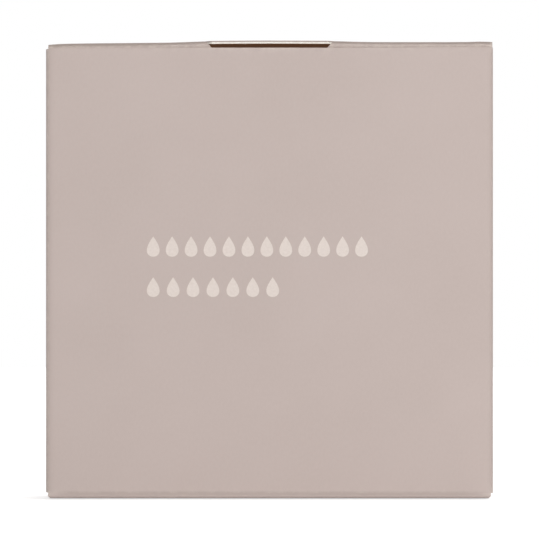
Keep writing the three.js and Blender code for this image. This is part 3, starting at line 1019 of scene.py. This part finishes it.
# %% Floor
FLOOR_RADIUS, FLOOR_DROP = 1.2, 0.0001


def make_floor():
    material, tree, shader = new_material("pale_floor")
    tree.nodes.remove(shader)
    diffuse = tree.nodes.new("ShaderNodeBsdfDiffuse")
    diffuse.inputs["Color"].default_value = (0.85, 0.85, 0.85, 1)
    glow = tree.nodes.new("ShaderNodeEmission")
    tree.links.new(multiply(tree, seen_directly(tree), 0.6), glow.inputs["Strength"])
    both = tree.nodes.new("ShaderNodeAddShader")
    tree.links.new(diffuse.outputs[0], both.inputs[0])
    tree.links.new(glow.outputs[0], both.inputs[1])
    below = tree.nodes.new("ShaderNodeNewGeometry").outputs["Backfacing"]
    clear = tree.nodes.new("ShaderNodeBsdfTransparent")
    tree.links.new(mix_shaders(tree, below, both, clear),
                   tree.nodes["Material Output"].inputs["Surface"])
    return material


floor_turns = np.linspace(0, 2 * math.pi, 96, endpoint=False)
floor_mesh = bpy.data.meshes.new("floor")
floor_mesh.from_pydata([(FLOOR_RADIUS * math.cos(a), FLOOR_RADIUS * math.sin(a), -FLOOR_DROP)
                        for a in floor_turns], [], [tuple(range(len(floor_turns)))])
floor_mesh.materials.append(make_floor())
floor = bpy.data.objects.new("floor", floor_mesh)
bpy.context.scene.collection.objects.link(floor)
print(f"floor laid {FLOOR_DROP / MM:g} mm under the carton")

# %% [markdown]
# The light is soft and mostly frontal, a little stronger from the right. One bare lamp would draw
# hard shadows. Two wide, low lamps light the front evenly and let the rolls at its edges turn
# slightly darker. A lamp behind and one above light the back, the lid and the inside of the open
# carton. The world adds a little light from all round, and is white where the camera sees it.

# %% The world
def background(tree, strength):
    """White light of one strength from all round."""
    node = tree.nodes.new("ShaderNodeBackground")
    node.inputs["Color"].default_value = (1, 1, 1, 1)
    node.inputs["Strength"].default_value = strength
    return node


def make_world():
    world = bpy.data.worlds.new("studio")
    world.use_nodes = True
    tree = world.node_tree
    tree.nodes.clear()
    surface = mix_shaders(tree, seen_directly(tree), background(tree, 0.25), background(tree, 1.0))
    out = tree.nodes.new("ShaderNodeOutputWorld")
    tree.links.new(surface, out.inputs["Surface"])
    return world


bpy.context.scene.world = make_world()
print("made the world", bpy.context.scene.world.name)

# %% Lamps
def soft_box(name, place, width, height, power):
    """A wide lamp that looks at the carton's middle."""
    lamp = bpy.data.lights.new(name, "AREA")
    lamp.shape = "RECTANGLE"
    lamp.size, lamp.size_y = width, height
    lamp.energy = power
    holder = bpy.data.objects.new(name, lamp)
    holder.location = place
    aim = Vector((0, 0, HEIGHT / 2 * MM)) - holder.location
    holder.rotation_euler = aim.to_track_quat("-Z", "Y").to_euler()
    bpy.context.scene.collection.objects.link(holder)
    print(f"{name}: {power:g} W at {place}")


soft_box("key_light", place=(0.32, -0.60, 0.085), width=0.5, height=0.16, power=2.13)
soft_box("fill_light", place=(-0.60, -0.80, 0.09), width=0.6, height=0.16, power=1.72)
soft_box("rear_light", place=(0.35, 1.0, 0.6), width=0.9, height=0.5, power=6.0)
soft_box("top_light", place=(0.1, -0.05, 1.0), width=0.5, height=0.5, power=2.6)

# %% [markdown]
# The camera looks straight at the front, from far off and through a long lens, as for a catalogue:
# lines stay parallel, and the rolls at the edges are seen nearly side on. An orthographic camera
# would do that too, but then a view from a corner would lose the slight perspective that makes a
# box look like a box.

# %% Camera
PICTURE_WIDTH, SENSOR_WIDTH = 0.08436, 36
EYE_HEIGHT, DISTANCE = 0.0359, 0.9
lens = bpy.data.cameras.new("camera")
lens.sensor_width = SENSOR_WIDTH
lens.lens = SENSOR_WIDTH * DISTANCE / PICTURE_WIDTH
lens.clip_start = 0.01
lens.clip_end = 50
camera = bpy.data.objects.new("camera", lens)
camera.location = (0, -HALF_DEPTH * MM - DISTANCE, EYE_HEIGHT)
camera.rotation_euler = (math.pi / 2, 0, 0)
bpy.context.scene.collection.objects.link(camera)
bpy.context.scene.camera = camera
bpy.context.scene.view_settings.view_transform = "Standard"
print(f"camera: {lens.lens:.0f} mm lens, {DISTANCE:g} m away")
